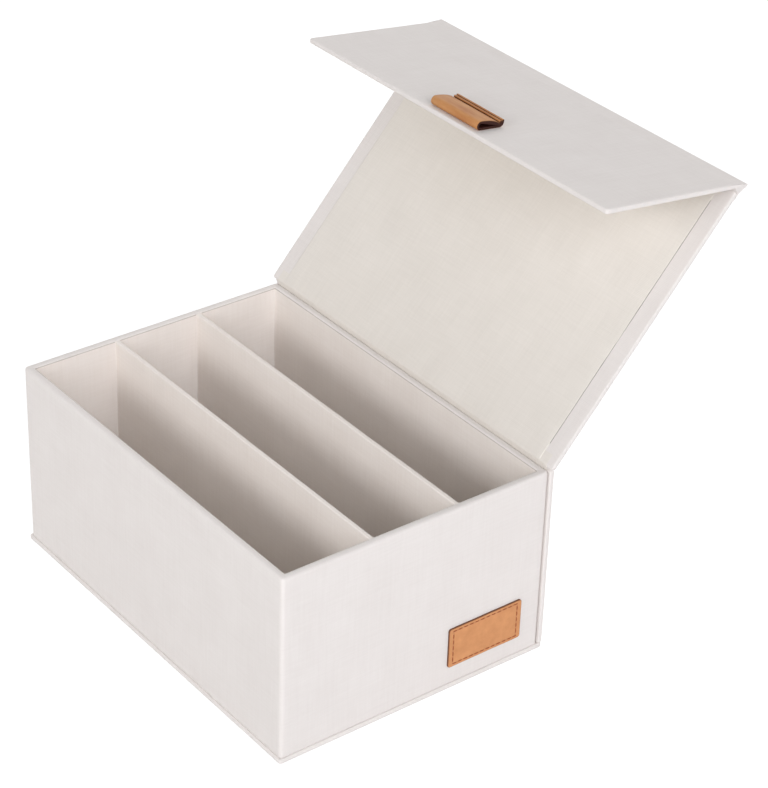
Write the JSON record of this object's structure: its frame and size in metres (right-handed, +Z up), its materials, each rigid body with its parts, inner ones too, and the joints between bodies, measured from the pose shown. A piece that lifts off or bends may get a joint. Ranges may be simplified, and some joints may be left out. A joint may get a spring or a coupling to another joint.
{
  "type": "lidded file box",
  "caption": "Cloth-covered board file box with dividers, a hinged lid that ends in a folding front flap, a leather pull and a bare leather label.",
  "frame": {"origin": "middle of the tray's length and depth, on the surface that the box stands on", "axes": "X along the length, +Y towards the spine, -Y the front, +Z up"},
  "size_m": [0.254, 0.294, 0.2691],
  "materials": {
    "cover_cloth": "off-white woven book cloth",
    "lining_cloth": "warm off-white woven lining",
    "greyboard": "grey-brown pressed paper board",
    "label_leather": "tan leather, stitched",
    "pull_leather": "tan leather with dark brown painted edges",
    "magnet": "nickel-plated magnet"
  },
  "bodies": {
    "box": {"base_board": "greyboard", "base_cloth": "cover_cloth", "spine_board": "greyboard", "spine_cloth": "cover_cloth", "floor_board": "greyboard", "floor_lining": "lining_cloth", "tray_cloth": "cover_cloth", "wall_lining": "lining_cloth", "front_wall_board": "greyboard", "back_wall_board": "greyboard", "left_wall_board": "greyboard", "right_wall_board": "greyboard", "front_liner_board": "greyboard", "back_liner_board": "greyboard", "left_liner_board": "greyboard", "right_liner_board": "greyboard", "front_divider_board": "greyboard", "front_divider_cloth": "lining_cloth", "rear_divider_board": "greyboard", "rear_divider_cloth": "lining_cloth", "wall_magnets": "magnet", "label_patch": "label_leather", "lid_hinge_cloth": "cover_cloth", "lid_hinge_lining": "lining_cloth"},
    "lid": {"lid_board": "greyboard", "lid_cloth": "cover_cloth", "lid_lining": "lining_cloth", "flap_hinge_cloth": "cover_cloth", "flap_hinge_lining": "lining_cloth"},
    "flap": {"flap_board": "greyboard", "flap_cloth": "cover_cloth", "flap_lining": "lining_cloth", "flap_magnets": "magnet", "leather_pull": "pull_leather"}
  },
  "joints": [
    {"name": "lid_hinge", "type": "hinge", "parent": "box", "child": "lid", "pos_m": [0, 0.0871, 0.1179], "axis": [1, 0, 0], "range_deg": [-48.5, 131.5], "deforming": ["lid_hinge_cloth", "lid_hinge_lining"]},
    {"name": "flap_hinge", "type": "hinge", "parent": "lid", "child": "flap", "pos_m": [0, 0.204, 0.25094], "axis": [1, 0, 0], "range_deg": [-33.1, 12.3], "deforming": ["flap_hinge_cloth", "flap_hinge_lining"]}
  ],
  "couplings": [
    {"joint": "flap_hinge", "follows": "lid_hinge", "ratio": -0.251}
  ]
}
